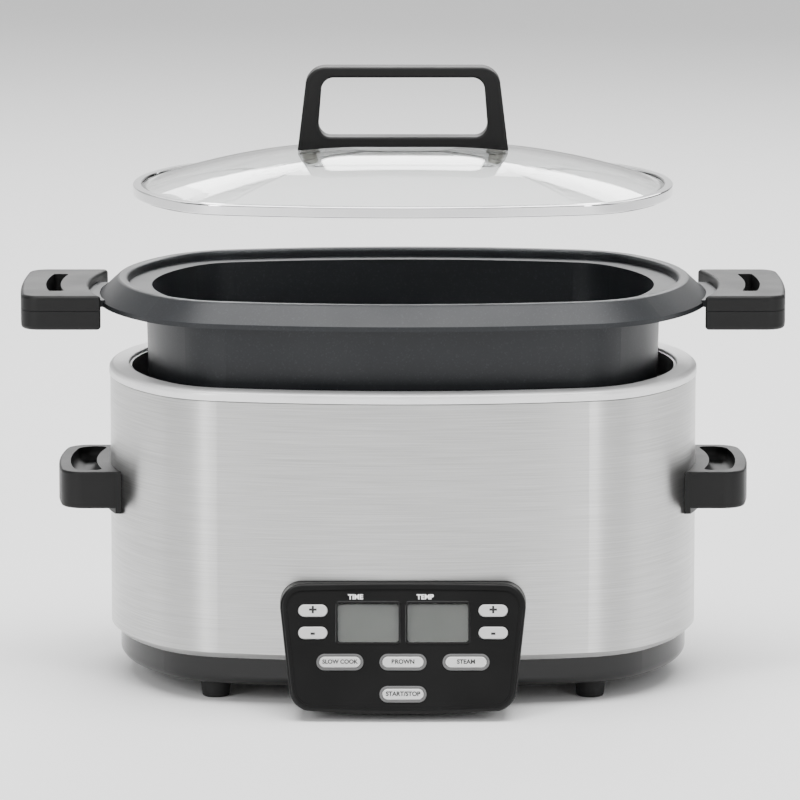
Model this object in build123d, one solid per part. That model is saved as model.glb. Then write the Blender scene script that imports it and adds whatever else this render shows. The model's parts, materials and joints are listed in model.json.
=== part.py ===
from build123d import *
import os
from math import atan2, cos, hypot, sin, sqrt

# Oblong countertop slow cooker: a heated housing with a control panel, a lift-out cooking pot and a
# glass lid. Sizes are in millimetres. X is the width, the control panel faces -Y and Z is up.
# Everything is drawn closed up, round the housing's own centre line. The pot and the lid are then
# raised to where the rest pose shows them, and the whole model is shifted so that its origin is the
# middle of its footprint.

# ---- Plan shared by the housing, the pot and the lid
HOUSING_WIDTH = 380.0
HOUSING_DEPTH = 262.0
FRONT_BOW = 18.0  # how far the long sides bulge
END_BOW = 51.0  # how far the short sides bulge
CORNER_RADIUS = 70.0
LEAST_CORNER = 8.0

# ---- Heights of the housing
FOOT_HEIGHT = 12.0
BAND_HEIGHT = 18.0  # what shows of the pan below the steel
WRAPPER_HEIGHT = 166.0
RIM_HEIGHT = 7.0
PAN_BOTTOM = FOOT_HEIGHT
BAND_TOP = PAN_BOTTOM + BAND_HEIGHT
WRAPPER_TOP = BAND_TOP + WRAPPER_HEIGHT
RIM_TOP = WRAPPER_TOP + RIM_HEIGHT

# ---- Housing sheet metal and mouldings
BAND_INSET = 6.0
PAN_WALL = 2.5
PAN_EDGE = 6.0
PAN_SPIGOT = 12.0  # what stands up inside the wrapper
WRAPPER_WALL = 0.8
ROLL_INSET = 4.5
ROLL_HEIGHT = 4.0
SEAM = 0.6
RIM_PROUD = 0.6
RIM_WIDTH = 13.2
RIM_WALL = 1.8
RIM_OUTER_ROUND = 3.2
RIM_INNER_ROUND = 0.9
LINER_WALL = 1.2
LINER_INSET = RIM_WIDTH - RIM_PROUD + 0.4
LINER_FLANGE_INSET = 2.5
LINER_EDGE = 18.0
SHEET_GAP = 0.1  # between sheets and mouldings that lie on each other
MOVING_GAP = 0.3  # between pieces that part from each other

# ---- Heater
PLATE_INSET = 62.0
PLATE_FLANGE = 6.0
PLATE_THICKNESS = 12.0
CHAMBER_DEPTH = 141.0  # from the rim's top down to the heater plate
PLATE_TOP = RIM_TOP - CHAMBER_DEPTH
PLATE_BOTTOM = PLATE_TOP - PLATE_THICKNESS
LINER_FLOOR = PLATE_TOP - 4.0
ELEMENT_DIAMETER = 6.5
ELEMENT_MARGIN = 26.0
ELEMENT_BEND = 24.0
TERMINAL_SPACING = 28.0
TERMINAL_DIAMETER = 4.0
TERMINAL_DROP = 14.0
SHIELD_INSET = 54.0
SHIELD_DROP = 6.0
SHIELD_WALL = 0.8
FUSE_DIAMETER = 4.0
FUSE_LENGTH = 14.0

# ---- Sprung temperature sensor in the middle of the heater plate
SENSOR_BORE = 26.0
SENSOR_CAP_DIAMETER = 22.0
SENSOR_CAP_THICKNESS = 3.0
SENSOR_TRAVEL = 2.0
SENSOR_CUP_WALL = 1.3
SENSOR_CUP_DEPTH = 14.0
SENSOR_STEM = 8.0
SENSOR_CLIP = 11.0
CUP_FLOOR = PLATE_TOP - SENSOR_CUP_DEPTH
CAP_TOP = PLATE_TOP + SENSOR_TRAVEL
CAP_BOTTOM = CAP_TOP - SENSOR_CAP_THICKNESS
SPRING_RADIUS = 6.4
SPRING_WIRE = 1.0
SPRING_TURNS = 5

# ---- Feet, posts and screws
FOOT_X = 120.0
FOOT_Y = 88.0
FOOT_TOP_RADIUS = 10.0
FOOT_BOTTOM_RADIUS = 8.6
POST_Y = 50.0
POST_RADIUS = 5.0
SCREW_4 = 4.0
SCREW_3 = 3.0
SCREW_CLEARANCE = 0.4
THREAD_GAP = 0.1
BOSS_HEIGHT = 7.0
VENT_X = 64.0
VENT_LENGTH = 34.0
VENT_WIDTH = 3.0
VENT_PITCH = 9.0
VENT_COUNT = 5

# ---- Cord outlet in the back of the pan
GLAND_Z = (PAN_BOTTOM + BAND_TOP) / 2
GLAND_RADIUS = 6.0
GLAND_FLANGE = 8.0
GLAND_BORE = 3.8
GLAND_OUT = 5.0
GLAND_FLANGE_THICKNESS = 2.0

# ---- Pot, measured from its crest, the top of its flange
CREST_ABOVE_RIM = 9.0
CREST = RIM_TOP + CREST_ABOVE_RIM
POT_BOTTOM = PLATE_TOP + MOVING_GAP
FLANGE_UNDERSIDE = RIM_TOP + MOVING_GAP
SKIRT_PROUD = 7.4
CREST_INSET = 5.5
SKIRT_DROP = 12.0
SKIRT_EDGE = 3.0
SKIRT_WALL = 4.7  # measured across the slope, in plan
POCKET_INSET = 12.0
LEDGE_DROP = 5.5
POT_INSET = 23.4
POT_WALL = 4.0
POT_FLOOR = 5.0
POT_DRAFT = 4.0
POT_EDGE = 22.0
POST_INSET = POT_INSET + POT_DRAFT + 9.0  # under the rounding of the pot's bottom edge
CREST_ROUND = 2.6
LUG_HALF_LENGTH = 38.0
LUG_CORNER = 6.0
LUG_TOP = 10.5
LUG_BOTTOM = 15.0
LUG_REACH = 24.0

# ---- Pot handles, two shells each
POT_HANDLE_REACH = 57.0
POT_HANDLE_HALF_LENGTH = 58.0
POT_HANDLE_BOW = 3.0
POT_HANDLE_CORNER = 12.0
POT_HANDLE_STANDOFF = 13.5
POT_HANDLE_TOP = 4.8
POT_HANDLE_PARTING = 14.6
POT_HANDLE_BOTTOM = 27.0
PARTING_GAP = 0.3
POT_HANDLE_ROUND = 2.4
SLOT_OUTER = 41.0
SLOT_WIDTH = 9.5
SLOT_HALF_LENGTH = 36.0
LUG_SCREW_X = 18.0
LUG_SCREW_Y = 24.0

# ---- Housing handles
SIDE_HANDLE_REACH = 33.5
SIDE_HANDLE_HALF_LENGTH = 51.0
SIDE_HANDLE_BOW = 5.0
SIDE_HANDLE_CORNER = 15.0
SIDE_HANDLE_BOTTOM = 114.5
SIDE_HANDLE_HEIGHT = 24.0
SIDE_HANDLE_PAD = 3.8
SIDE_HANDLE_HEEL = 3.3
SCOOP_DEPTH = 9.0
SCOOP_MARGIN = 7.5
GRIP_WALL = 3.5
HANDLE_ROOT = 9.0
BACKING_WALL = 1.5
SIDE_SCREW_Y = 38.0
SIDE_SCREW_Z = SIDE_HANDLE_BOTTOM + SIDE_HANDLE_HEIGHT / 2
SCOOP_ROUND = 6.0
SIDE_HANDLE_ROUND = 1.6

# ---- Lid
LID_INSET = 15.5
LID_BAND_HEIGHT = 7.0
LID_LIP = 5.0
LID_BAND_WALL = 0.8
LID_LIP_THICKNESS = 1.3
GLASS_THICKNESS = 4.0
LID_BOTTOM = CREST - LEDGE_DROP + MOVING_GAP
LID_TOP = LID_BOTTOM + LID_BAND_HEIGHT
GLASS_LOW = LID_BOTTOM + LID_LIP_THICKNESS + SHEET_GAP
DOME_BASE = GLASS_LOW + GLASS_THICKNESS
DOME_INSET = LID_INSET + LID_LIP + 0.5
GLASS_LAND = 0.2  # flat run of the glass's underside inside the rim
DOME_HEIGHT = 25.0
DOME_POWER = 2.4
DOME_SECTIONS = (1.0, 0.92, 0.8, 0.64, 0.44, 0.2)
LID_HANDLE_HEIGHT = 54.0
LID_HANDLE_TOP_HALF = 61.5
LID_HANDLE_FOOT_HALF = 68.0
LID_HANDLE_THICKNESS = 17.0
LID_HANDLE_BAR = 6.8
LID_HANDLE_OPENING_HEIGHT = 38.5
LID_OPENING_TOP_HALF = 52.0
LID_OPENING_FOOT_HALF = 55.0
LID_HANDLE_ROUND = 13.0
LID_OPENING_ROUND = 8.0
LID_HANDLE_EDGE = 1.8
GASKET_THICKNESS = 1.0
LID_SCREW_X = 60.0
LID_WASHER_RADIUS = 6.5
LID_SCREW = 5.0

# ---- Control panel, laid out on its sloping face: U across, V down from the top edge
PANEL_TOP_WIDTH = 159.0
PANEL_BOTTOM_WIDTH = 141.0
PANEL_BOTTOM_Z = 5.0
PANEL_HEIGHT = 78.0
PANEL_LEAN = 35.0  # how far the bottom edge stands in front of the top edge
PANEL_PROUD = 5.0
PANEL_TOP_BOW = 1.2
PANEL_BOTTOM_BOW = 2.5
PANEL_CORNER = 14.0
PANEL_ROUND = 2.2
PANEL_SINK = 11.5  # how far the case reaches into the housing
BEZEL_DEPTH = 10.0
BEZEL_WALL = 2.5
FACE_RIM = 4.0
FACE_RECESS = 0.8
CASE_WALL = 2.0
BOARD_DEPTH = 11.0
BOARD_TOP_V = 6.0
BOARD_THICKNESS = 1.6
LCD_U = 22.0
LCD_V = 25.8
LCD_WIDTH = 38.3
LCD_HEIGHT = 25.0
LCD_OVERLAP = 1.8
LCD_CORNER = 2.0
WINDOW_THICKNESS = 1.2
STEP_U = 57.0
STEP_UP_V = 18.0
STEP_DOWN_V = 32.4
STEP_KEY = (18.4, 7.8)
MODE_U = 39.8
MODE_V = 51.3
START_V = 72.0
MODE_KEY = (26.2, 7.1)
RING_WIDTH = 1.8
RING_RISE = 0.8
KEY_GAP = 0.3
KEY_RISE = 1.2
KEY_LIP = 1.2
KEY_BACK = 5.0
KEY_TRAVEL = 1.0
SWITCH_SIZE = 6.0
SWITCH_HEIGHT = 3.4
STUD_U = 64.0
STUD_V = 44.0
STUD_LOW_U = 48.0
STUD_LOW_V = 69.0
STUD_RADIUS = 3.0
STUDS = [(s * u, v) for s in (-1, 1) for u, v in ((STUD_U, STUD_V), (STUD_LOW_U, STUD_LOW_V))]
CASE_BACK = HOUSING_DEPTH / 2 - PANEL_SINK  # distance in front of the housing's middle

# ---- Circuit boards in the base
POWER_BOARD = (120.0, 58.0)
POWER_BOARD_Y = 76.0
POWER_BOARD_Z = 21.0
BOARD_TOP = POWER_BOARD_Z + BOARD_THICKNESS
BOARD_POST_X = 50.0
BOARD_POST_Y = 21.0
RIBBON_X = -20.0
RIBBON_Z = 34.0
RIBBON_WIDTH = 22.0
RIBBON_THICKNESS = 1.0
RIBBON_SLOT = 3.0
LEAD_DIAMETER = 2.8

# ---- Rest pose
REST_POT_LIFT = 47.0
REST_LID_LIFT = 59.0

BIG = 500.0
UPRIGHT = (Align.CENTER, Align.CENTER, Align.MIN)
FACE_ANGLE = atan2(PANEL_LEAN, PANEL_HEIGHT)
PANEL_TOP_Z = PANEL_BOTTOM_Z + PANEL_HEIGHT
PANEL_TOP_Y = HOUSING_DEPTH / 2 + PANEL_PROUD
FACE = Plane(
    origin=(0, -PANEL_TOP_Y, PANEL_TOP_Z),
    x_dir=(1, 0, 0),
    z_dir=(0, -cos(FACE_ANGLE), sin(FACE_ANGLE)),
)
KEYS = {
    "time_up_button": (-STEP_U, STEP_UP_V, STEP_KEY),
    "time_down_button": (-STEP_U, STEP_DOWN_V, STEP_KEY),
    "temp_up_button": (STEP_U, STEP_UP_V, STEP_KEY),
    "temp_down_button": (STEP_U, STEP_DOWN_V, STEP_KEY),
    "slow_cook_button": (-MODE_U, MODE_V, MODE_KEY),
    "brown_button": (0, MODE_V, MODE_KEY),
    "steam_button": (MODE_U, MODE_V, MODE_KEY),
    "start_stop_button": (0, START_V, MODE_KEY),
}


# ---- Shared shapes
def arc_radius(half_chord, bow):
    """Radius of the arc that bulges by `bow` over its chord."""
    return (half_chord**2 + bow**2) / (2 * bow)


def outline(inset=0.0):
    """The cooker's plan, parallel to the steel wrapper's outside and `inset` within it."""
    half_width, half_depth = HOUSING_WIDTH / 2, HOUSING_DEPTH / 2
    side = arc_radius(half_width - END_BOW, FRONT_BOW)
    end = arc_radius(half_depth - FRONT_BOW, END_BOW)
    side_centre, end_centre = half_depth - side, half_width - end
    apart = hypot(side_centre, end_centre)
    along = (apart**2 + (side - inset) ** 2 - (end - inset) ** 2) / (2 * apart)
    across = sqrt((side - inset) ** 2 - along**2)
    x = (along * end_centre - across * side_centre) / apart
    y = side_centre - (across * end_centre + along * side_centre) / apart
    corners = [(x, y), (-x, y), (-x, -y), (x, -y)]
    top, side_x = half_depth - inset, half_width - inset
    middles = [(0, top), (-side_x, 0), (0, -top), (side_x, 0)]
    arcs = [ThreePointArc(corners[i], middles[i], corners[(i + 1) % 4]) for i in range(4)]
    plan = make_face(arcs)
    return fillet(plan.vertices(), max(CORNER_RADIUS - inset, LEAST_CORNER))


def end_x(inset, y):
    """X of the plan's end arc at a given Y."""
    end = arc_radius(HOUSING_DEPTH / 2 - FRONT_BOW, END_BOW)
    return HOUSING_WIDTH / 2 - end + sqrt((end - inset) ** 2 - y**2)


def post_spots():
    """Where the long screws that hold the liner to the pan stand."""
    return four(end_x(POST_INSET, POST_Y), POST_Y)


def slab(inset, low, high):
    return extrude(Pos(0, 0, low) * outline(inset), high - low)


def band(outer, inner, low, high):
    return slab(outer, low, high) - slab(inner, low, high)


def tapered(low_inset, high_inset, low, high):
    """A slab whose plan changes evenly from one inset to another."""
    return loft([Pos(0, 0, low) * outline(low_inset), Pos(0, 0, high) * outline(high_inset)], ruled=True)


def lowest(shape):
    return shape.edges().group_by(Axis.Z)[0]


def highest(shape):
    return shape.edges().group_by(Axis.Z)[-1]


def post(x, y, low, high, radius):
    return Pos(x, y, low) * Cylinder(radius, high - low, align=UPRIGHT)


def block(x, y, low, high, width, depth):
    return Pos(x, y, low) * Box(width, depth, high - low, align=UPRIGHT)


def four(x, y):
    return [(i * x, j * y) for i in (-1, 1) for j in (-1, 1)]


def screw(diameter, length):
    """Pan-head screw with a cross recess: the head stands on Z = 0 and the shank runs up."""
    head = Pos(0, 0, -0.65 * diameter) * Cylinder(0.95 * diameter, 0.65 * diameter, align=UPRIGHT)
    head = fillet(lowest(head), 0.3 * diameter)
    for turn in (0, 90):
        head -= Pos(0, 0, -0.65 * diameter) * Rot(0, 0, turn) * Box(
            1.1 * diameter, 0.25 * diameter, 0.35 * diameter, align=UPRIGHT
        )
    return head + Cylinder(diameter / 2, length, align=UPRIGHT)


def key_plan(size, grow=0.0):
    """Stadium-shaped plan of a key, its ring or its hole."""
    length, height = size
    return SlotOverall(length + 2 * grow, height + 2 * grow)


def on_face(shape, u, v, depth=0.0):
    """Places a shape drawn on Z = 0 onto the panel's sloping face, `depth` below its surface."""
    return FACE.location * Pos(u, -v, -depth) * shape


def grip_plan(reach, half_length, bow, corner):
    """Plan of a handle at the +X end: straight sides, a bowed outer edge and round corners."""
    inner = HOUSING_WIDTH / 2 - END_BOW
    outer = HOUSING_WIDTH / 2 + reach
    low, high = (outer - bow, -half_length), (outer - bow, half_length)
    edge = Polyline(low, (inner, -half_length), (inner, half_length), high)
    edge += ThreePointArc(high, (outer, 0), low)
    plan = make_face(edge)
    return fillet(plan.vertices().group_by(Axis.X)[-1], corner)


def both_ends(shape):
    return shape + mirror(shape, about=Plane.YZ)


# ---- Control panel case
def panel_plan(inset=0.0):
    """Front view of the panel's case: a round-cornered trapezium with bowed top and bottom edges."""
    top, bottom = PANEL_TOP_Z, PANEL_BOTTOM_Z
    a, b = PANEL_TOP_WIDTH / 2, PANEL_BOTTOM_WIDTH / 2
    edge = ThreePointArc((-a, top - PANEL_TOP_BOW), (0, top), (a, top - PANEL_TOP_BOW))
    edge += Line((a, top - PANEL_TOP_BOW), (b, bottom + PANEL_BOTTOM_BOW))
    edge += ThreePointArc((b, bottom + PANEL_BOTTOM_BOW), (0, bottom), (-b, bottom + PANEL_BOTTOM_BOW))
    edge += Line((-b, bottom + PANEL_BOTTOM_BOW), (-a, top - PANEL_TOP_BOW))
    plan = make_face(edge)
    plan = fillet(plan.vertices(), PANEL_CORNER)
    return offset(plan, -inset) if inset else plan


def panel_prism(inset, back):
    """The case's plan drawn forward from `back` millimetres in front of the housing's middle."""
    return extrude(Plane.XZ.offset(back) * panel_plan(inset), BIG / 2)


def face_slice(low, high):
    """The space between two depths below the panel's face."""
    return FACE.location * Pos(0, 0, -high) * Box(BIG, BIG, high - low, align=UPRIGHT)


def panel_cut():
    """The space the panel's case takes out of the pan and the wrapper."""
    return panel_prism(-MOVING_GAP, CASE_BACK - MOVING_GAP)


def panel_bezel():
    body = panel_prism(0, CASE_BACK) - face_slice(-BIG, 0)
    front = max(body.faces(), key=lambda face: face.normal_at().dot(FACE.z_dir))
    body = fillet(front.outer_wire().edges(), PANEL_ROUND)
    body &= face_slice(0, BEZEL_DEPTH)
    body -= panel_prism(BEZEL_WALL, CASE_BACK - 1) & face_slice(BEZEL_WALL, BIG)
    body -= panel_prism(FACE_RIM, CASE_BACK) & face_slice(-1, FACE_RECESS)
    for u, v in STUDS:
        stud = Cylinder(STUD_RADIUS, BOARD_DEPTH - BEZEL_WALL, align=UPRIGHT)
        body += on_face(stud, u, v, BOARD_DEPTH - SHEET_GAP)
        body -= on_face(Cylinder(SCREW_3 / 2 - THREAD_GAP, 7, align=UPRIGHT), u, v, BOARD_DEPTH)
    for sign in (-1, 1):
        opening = extrude(RectangleRounded(LCD_WIDTH, LCD_HEIGHT, LCD_CORNER), BEZEL_DEPTH, both=True)
        body -= on_face(opening, sign * LCD_U, LCD_V)
    for name, (u, v, size) in KEYS.items():
        grow = KEY_GAP if size is STEP_KEY else RING_WIDTH / 2 + KEY_GAP
        body -= on_face(extrude(key_plan(size, grow), BEZEL_DEPTH, both=True), u, v)
    return body


def panel_back():
    body = panel_prism(0, CASE_BACK) & face_slice(BEZEL_DEPTH + SHEET_GAP, BIG)
    body -= panel_prism(CASE_WALL, CASE_BACK + CASE_WALL)
    low, high = RIBBON_Z - RIBBON_SLOT / 2, RIBBON_Z + RIBBON_SLOT / 2
    return body - block(RIBBON_X, -CASE_BACK, low, high, RIBBON_WIDTH + 2, 4 * CASE_WALL)


def control_board():
    size = (2 * (STUD_U + STUD_RADIUS), STUD_LOW_V + 2 * STUD_RADIUS - BOARD_TOP_V, BOARD_THICKNESS)
    plate = on_face(Box(*size, align=(Align.CENTER, Align.MAX, Align.MAX)), 0, BOARD_TOP_V, BOARD_DEPTH)
    for u, v in STUDS:
        plate -= on_face(Cylinder(SCREW_3 / 2 + 0.1, 4 * BOARD_THICKNESS), u, v, BOARD_DEPTH)
    return plate & panel_prism(CASE_WALL + 1, CASE_BACK + CASE_WALL + 1)


def panel_screws():
    one = Pos(0, 0, -BOARD_THICKNESS) * screw(SCREW_3 - 0.2, 6)
    return [on_face(one, u, v, BOARD_DEPTH) for u, v in STUDS]


def tact_switches():
    body = Box(SWITCH_SIZE, SWITCH_SIZE, SWITCH_HEIGHT, align=UPRIGHT)
    body += Cylinder(SWITCH_SIZE / 3.5, BOARD_DEPTH - KEY_BACK - KEY_TRAVEL - MOVING_GAP, align=UPRIGHT)
    return [on_face(body, u, v, BOARD_DEPTH) for u, v, size in KEYS.values()]


def lcd_window(sign):
    plan = RectangleRounded(LCD_WIDTH + 2 * LCD_OVERLAP, LCD_HEIGHT + 2 * LCD_OVERLAP, LCD_CORNER)
    return on_face(extrude(plan, WINDOW_THICKNESS), sign * LCD_U, LCD_V, BEZEL_WALL + WINDOW_THICKNESS)


def lcd_module(sign):
    height = BOARD_DEPTH - BEZEL_WALL - WINDOW_THICKNESS - SHEET_GAP
    module = Box(LCD_WIDTH + 1, LCD_HEIGHT + 1, height, align=UPRIGHT)
    return on_face(module, sign * LCD_U, LCD_V, BOARD_DEPTH)


def key(name):
    """One push key: the cap, and behind the face the lip that holds it in."""
    u, v, size = KEYS[name]
    low, high = FACE_RECESS - KEY_RISE, KEY_BACK
    cap = extrude(key_plan(size), high - low)
    cap = fillet(highest(cap), 0.8)
    cap += extrude(key_plan(size, KEY_LIP), 1.0)
    return on_face(cap, u, v, KEY_BACK)


def button_rings():
    """Trim rings round the four mode keys, each with a sleeve through the face."""
    rings = []
    for u, v, size in KEYS.values():
        if size is MODE_KEY:
            ring = Pos(0, 0, BEZEL_WALL - FACE_RECESS) * extrude(key_plan(size, RING_WIDTH), RING_RISE)
            ring = fillet(highest(ring), 0.5)
            ring += extrude(key_plan(size, RING_WIDTH / 2 + KEY_GAP - SHEET_GAP), BEZEL_WALL)
            ring -= extrude(key_plan(size, KEY_GAP), 4)
            rings.append(on_face(ring, u, v, BEZEL_WALL))
    return rings


# ---- Housing
def base_pan():
    pan = fillet(lowest(slab(BAND_INSET, PAN_BOTTOM, BAND_TOP + PAN_SPIGOT)), PAN_EDGE)
    floor = PAN_BOTTOM + PAN_WALL
    inside = slab(BAND_INSET + PAN_WALL, floor, BAND_TOP + PAN_SPIGOT)
    pan -= fillet(lowest(inside), PAN_EDGE - PAN_WALL)
    for x, y in post_spots():
        pan += post(x, y, floor - 0.5, LINER_FLOOR - SHEET_GAP, POST_RADIUS)
        pan -= post(x, y, 0, LINER_FLOOR, (SCREW_4 + SCREW_CLEARANCE) / 2)
    for x, y in four(FOOT_X, FOOT_Y):
        pan += post(x, y, floor - 0.5, floor + BOSS_HEIGHT, POST_RADIUS)
        pan -= post(x, y, 0, floor + BOSS_HEIGHT, SCREW_4 / 2 + THREAD_GAP)
    for x, y in four(BOARD_POST_X, BOARD_POST_Y):
        pan += post(x, POWER_BOARD_Y + y, floor - 0.5, POWER_BOARD_Z - SHEET_GAP, STUD_RADIUS)
    for row in (-1, 1):
        for i in range(VENT_COUNT):
            y = (i - VENT_COUNT + 0.5) * VENT_PITCH
            pan -= block(row * VENT_X, y, 0, floor + 1, VENT_LENGTH, VENT_WIDTH)
    back = HOUSING_DEPTH / 2 - BAND_INSET
    pan -= Pos(0, back, GLAND_Z) * Rot(90, 0, 0) * Cylinder(GLAND_RADIUS + SHEET_GAP, 20)
    return pan - panel_cut()


def cord_gland():
    """Round grommet in the pan's back wall, with the bore that the mains cord would leave by."""
    back = HOUSING_DEPTH / 2 - BAND_INSET
    gland = Cylinder(GLAND_RADIUS, PAN_WALL + GLAND_OUT + 4)
    gland = Pos(0, 0, (GLAND_OUT + 4 - PAN_WALL - 4) / 2) * gland
    gland += Pos(0, 0, SHEET_GAP) * Cylinder(GLAND_FLANGE, GLAND_FLANGE_THICKNESS, align=UPRIGHT)
    gland = fillet(highest(gland), 1.5)
    gland -= Cylinder(GLAND_BORE, 60)
    return Pos(0, back, GLAND_Z) * Rot(-90, 0, 0) * gland


def foot():
    """Tapered rubber foot with a screw well, standing on Z = 0."""
    body = Cone(FOOT_BOTTOM_RADIUS, FOOT_TOP_RADIUS, FOOT_HEIGHT, align=UPRIGHT)
    body = fillet(lowest(body), 1.5)
    body -= Cylinder(0.95 * SCREW_4 + 0.6, FOOT_HEIGHT / 2 + 0.65 * SCREW_4, align=UPRIGHT)
    return body - Cylinder(SCREW_4 / 2 + THREAD_GAP, FOOT_HEIGHT, align=UPRIGHT)


def foot_screws():
    one = Pos(0, 0, FOOT_HEIGHT / 2 + 0.65 * SCREW_4) * screw(SCREW_4, FOOT_HEIGHT / 2 + PAN_WALL + 2)
    return [Pos(x, y) * one for x, y in four(FOOT_X, FOOT_Y)]


def steel_wrapper():
    low, roll = BAND_TOP + SHEET_GAP, BAND_TOP + ROLL_HEIGHT
    body = slab(0, roll, WRAPPER_TOP) + tapered(ROLL_INSET, 0, low, roll)
    body -= slab(WRAPPER_WALL, roll, WRAPPER_TOP)
    body -= tapered(ROLL_INSET + WRAPPER_WALL, WRAPPER_WALL, low, roll)
    for y in (-SIDE_SCREW_Y, SIDE_SCREW_Y):
        body -= Pos(0, y, SIDE_SCREW_Z) * Rot(0, 90, 0) * Cylinder((SCREW_4 + SCREW_CLEARANCE) / 2, BIG)
    return body - panel_cut()


def top_rim():
    """Rolled metal rim: an outer skirt over the wrapper and a flat land over the liner's flange."""
    low = WRAPPER_TOP + SEAM
    body = slab(-RIM_PROUD, low, RIM_TOP)
    body = fillet(highest(body), RIM_OUTER_ROUND) - slab(RIM_WIDTH - RIM_PROUD, low, RIM_TOP)
    land = body.faces().sort_by(Axis.Z)[-1]
    body = fillet(land.inner_wires()[0].edges(), RIM_INNER_ROUND)
    return body - slab(RIM_WALL - RIM_PROUD, low, RIM_TOP - RIM_WALL)


def heating_liner():
    top = RIM_TOP - RIM_WALL - SHEET_GAP
    body = fillet(lowest(slab(LINER_INSET, LINER_FLOOR, top)), LINER_EDGE)
    body += slab(LINER_FLANGE_INSET, top - LINER_WALL, top)
    inside = slab(LINER_INSET + LINER_WALL, LINER_FLOOR + LINER_WALL, top)
    body -= fillet(lowest(inside), LINER_EDGE - LINER_WALL)
    body -= slab(PLATE_INSET - MOVING_GAP, LINER_FLOOR, LINER_FLOOR + LINER_WALL)
    for x, y in post_spots():
        body -= post(x, y, LINER_FLOOR - 1, LINER_FLOOR + 3, (SCREW_4 + SCREW_CLEARANCE) / 2)
    return body


def liner_nuts():
    """Hexagon nuts on the liner's floor that take the long screws from under the pan."""
    nut = extrude(RegularPolygon(3.8, 6), 3.2) - Cylinder(SCREW_4 / 2 + THREAD_GAP, 20)
    return [Pos(x, y, LINER_FLOOR + LINER_WALL + SHEET_GAP) * nut for x, y in post_spots()]


def base_screws():
    length = LINER_FLOOR + LINER_WALL + 4 - PAN_BOTTOM
    return [Pos(x, y, PAN_BOTTOM - SHEET_GAP) * screw(SCREW_4, length) for x, y in post_spots()]


# ---- Heater and sensor
def element_path():
    half_x = HOUSING_WIDTH / 2 - PLATE_INSET - ELEMENT_MARGIN
    half_y = HOUSING_DEPTH / 2 - PLATE_INSET - ELEMENT_MARGIN
    gap = TERMINAL_SPACING / 2
    return FilletPolyline(
        (-gap, half_y), (-half_x, half_y), (-half_x, -half_y),
        (half_x, -half_y), (half_x, half_y), (gap, half_y),
        radius=ELEMENT_BEND,
    )


def element_tube(diameter):
    path = Pos(0, 0, PLATE_BOTTOM) * element_path()
    start = Plane(origin=path @ 0, z_dir=path % 0)
    return sweep(start * Circle(diameter / 2), path)


def heater_plate():
    body = slab(PLATE_INSET, PLATE_BOTTOM, PLATE_TOP)
    body = fillet(highest(body), 1.5)
    body += slab(PLATE_INSET - PLATE_FLANGE, PLATE_BOTTOM, LINER_FLOOR - SHEET_GAP)
    body -= Pos(0, 0, PLATE_TOP) * Cylinder(SENSOR_BORE / 2, 60)
    return body - element_tube(ELEMENT_DIAMETER + 2 * SHEET_GAP)


def heater_element():
    """Sheathed tube in the plate's groove, with a cold pin hanging from each end."""
    body = element_tube(ELEMENT_DIAMETER)
    y = HOUSING_DEPTH / 2 - PLATE_INSET - ELEMENT_MARGIN
    for x in (-TERMINAL_SPACING / 2, TERMINAL_SPACING / 2):
        body += post(x * 1.1, y, PLATE_BOTTOM - TERMINAL_DROP, PLATE_BOTTOM, TERMINAL_DIAMETER / 2)
    return body


def heat_shield():
    top = PLATE_BOTTOM - SHIELD_DROP
    body = slab(SHIELD_INSET, top - SHIELD_WALL, top)
    body -= Pos(0, 0, top) * Cylinder(SENSOR_BORE / 2 + 2, 10)
    y = HOUSING_DEPTH / 2 - PLATE_INSET - ELEMENT_MARGIN
    for x in (-TERMINAL_SPACING / 2, TERMINAL_SPACING / 2):
        body -= Pos(x * 1.1, y, top) * Cylinder(TERMINAL_DIAMETER, 10)
    return body


def thermal_fuse():
    z = PLATE_BOTTOM - FUSE_DIAMETER / 2 - SHEET_GAP
    body = Cylinder(FUSE_DIAMETER / 2, FUSE_LENGTH) + Cylinder(0.5, FUSE_LENGTH + 12)
    return Pos(SENSOR_BORE * 1.6, 0, z) * Rot(0, 90, 0) * body


def sensor_cup():
    """Cup pressed into the plate's bore, with a hole in its floor that guides the stem."""
    radius = SENSOR_BORE / 2 - SHEET_GAP
    body = post(0, 0, CUP_FLOOR - 2, PLATE_TOP - 1, radius)
    body -= post(0, 0, CUP_FLOOR, PLATE_TOP, radius - SENSOR_CUP_WALL)
    return body - post(0, 0, 0, PLATE_TOP, SENSOR_STEM / 2 + MOVING_GAP)


def sensor_cap():
    """Aluminium cap on a stem, held in the cup by a clip below the cup's floor."""
    body = fillet(highest(post(0, 0, CAP_BOTTOM, CAP_TOP, SENSOR_CAP_DIAMETER / 2)), 0.8)
    body += post(0, 0, CUP_FLOOR - 4, CAP_TOP - 1, SENSOR_STEM / 2)
    return body + post(0, 0, CUP_FLOOR - 3.6, CUP_FLOOR - 2 - SHEET_GAP, SENSOR_CLIP / 2)


def sensor_spring():
    height = CAP_BOTTOM - CUP_FLOOR - SPRING_WIRE - 2 * SHEET_GAP
    path = Helix(height / SPRING_TURNS, height, SPRING_RADIUS)
    start = Plane(origin=path @ 0, z_dir=path % 0)
    coil = sweep(start * Circle(SPRING_WIRE / 2), path, is_frenet=True)
    return Pos(0, 0, CUP_FLOOR + SPRING_WIRE / 2 + SHEET_GAP) * coil


# ---- Electrics in the base
def power_board():
    return block(0, POWER_BOARD_Y, POWER_BOARD_Z, BOARD_TOP, *POWER_BOARD)


def relay():
    return fillet(block(-38, POWER_BOARD_Y, BOARD_TOP + SHEET_GAP, BOARD_TOP + 15.5, 19, 15.5).edges(), 0.6)


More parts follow.
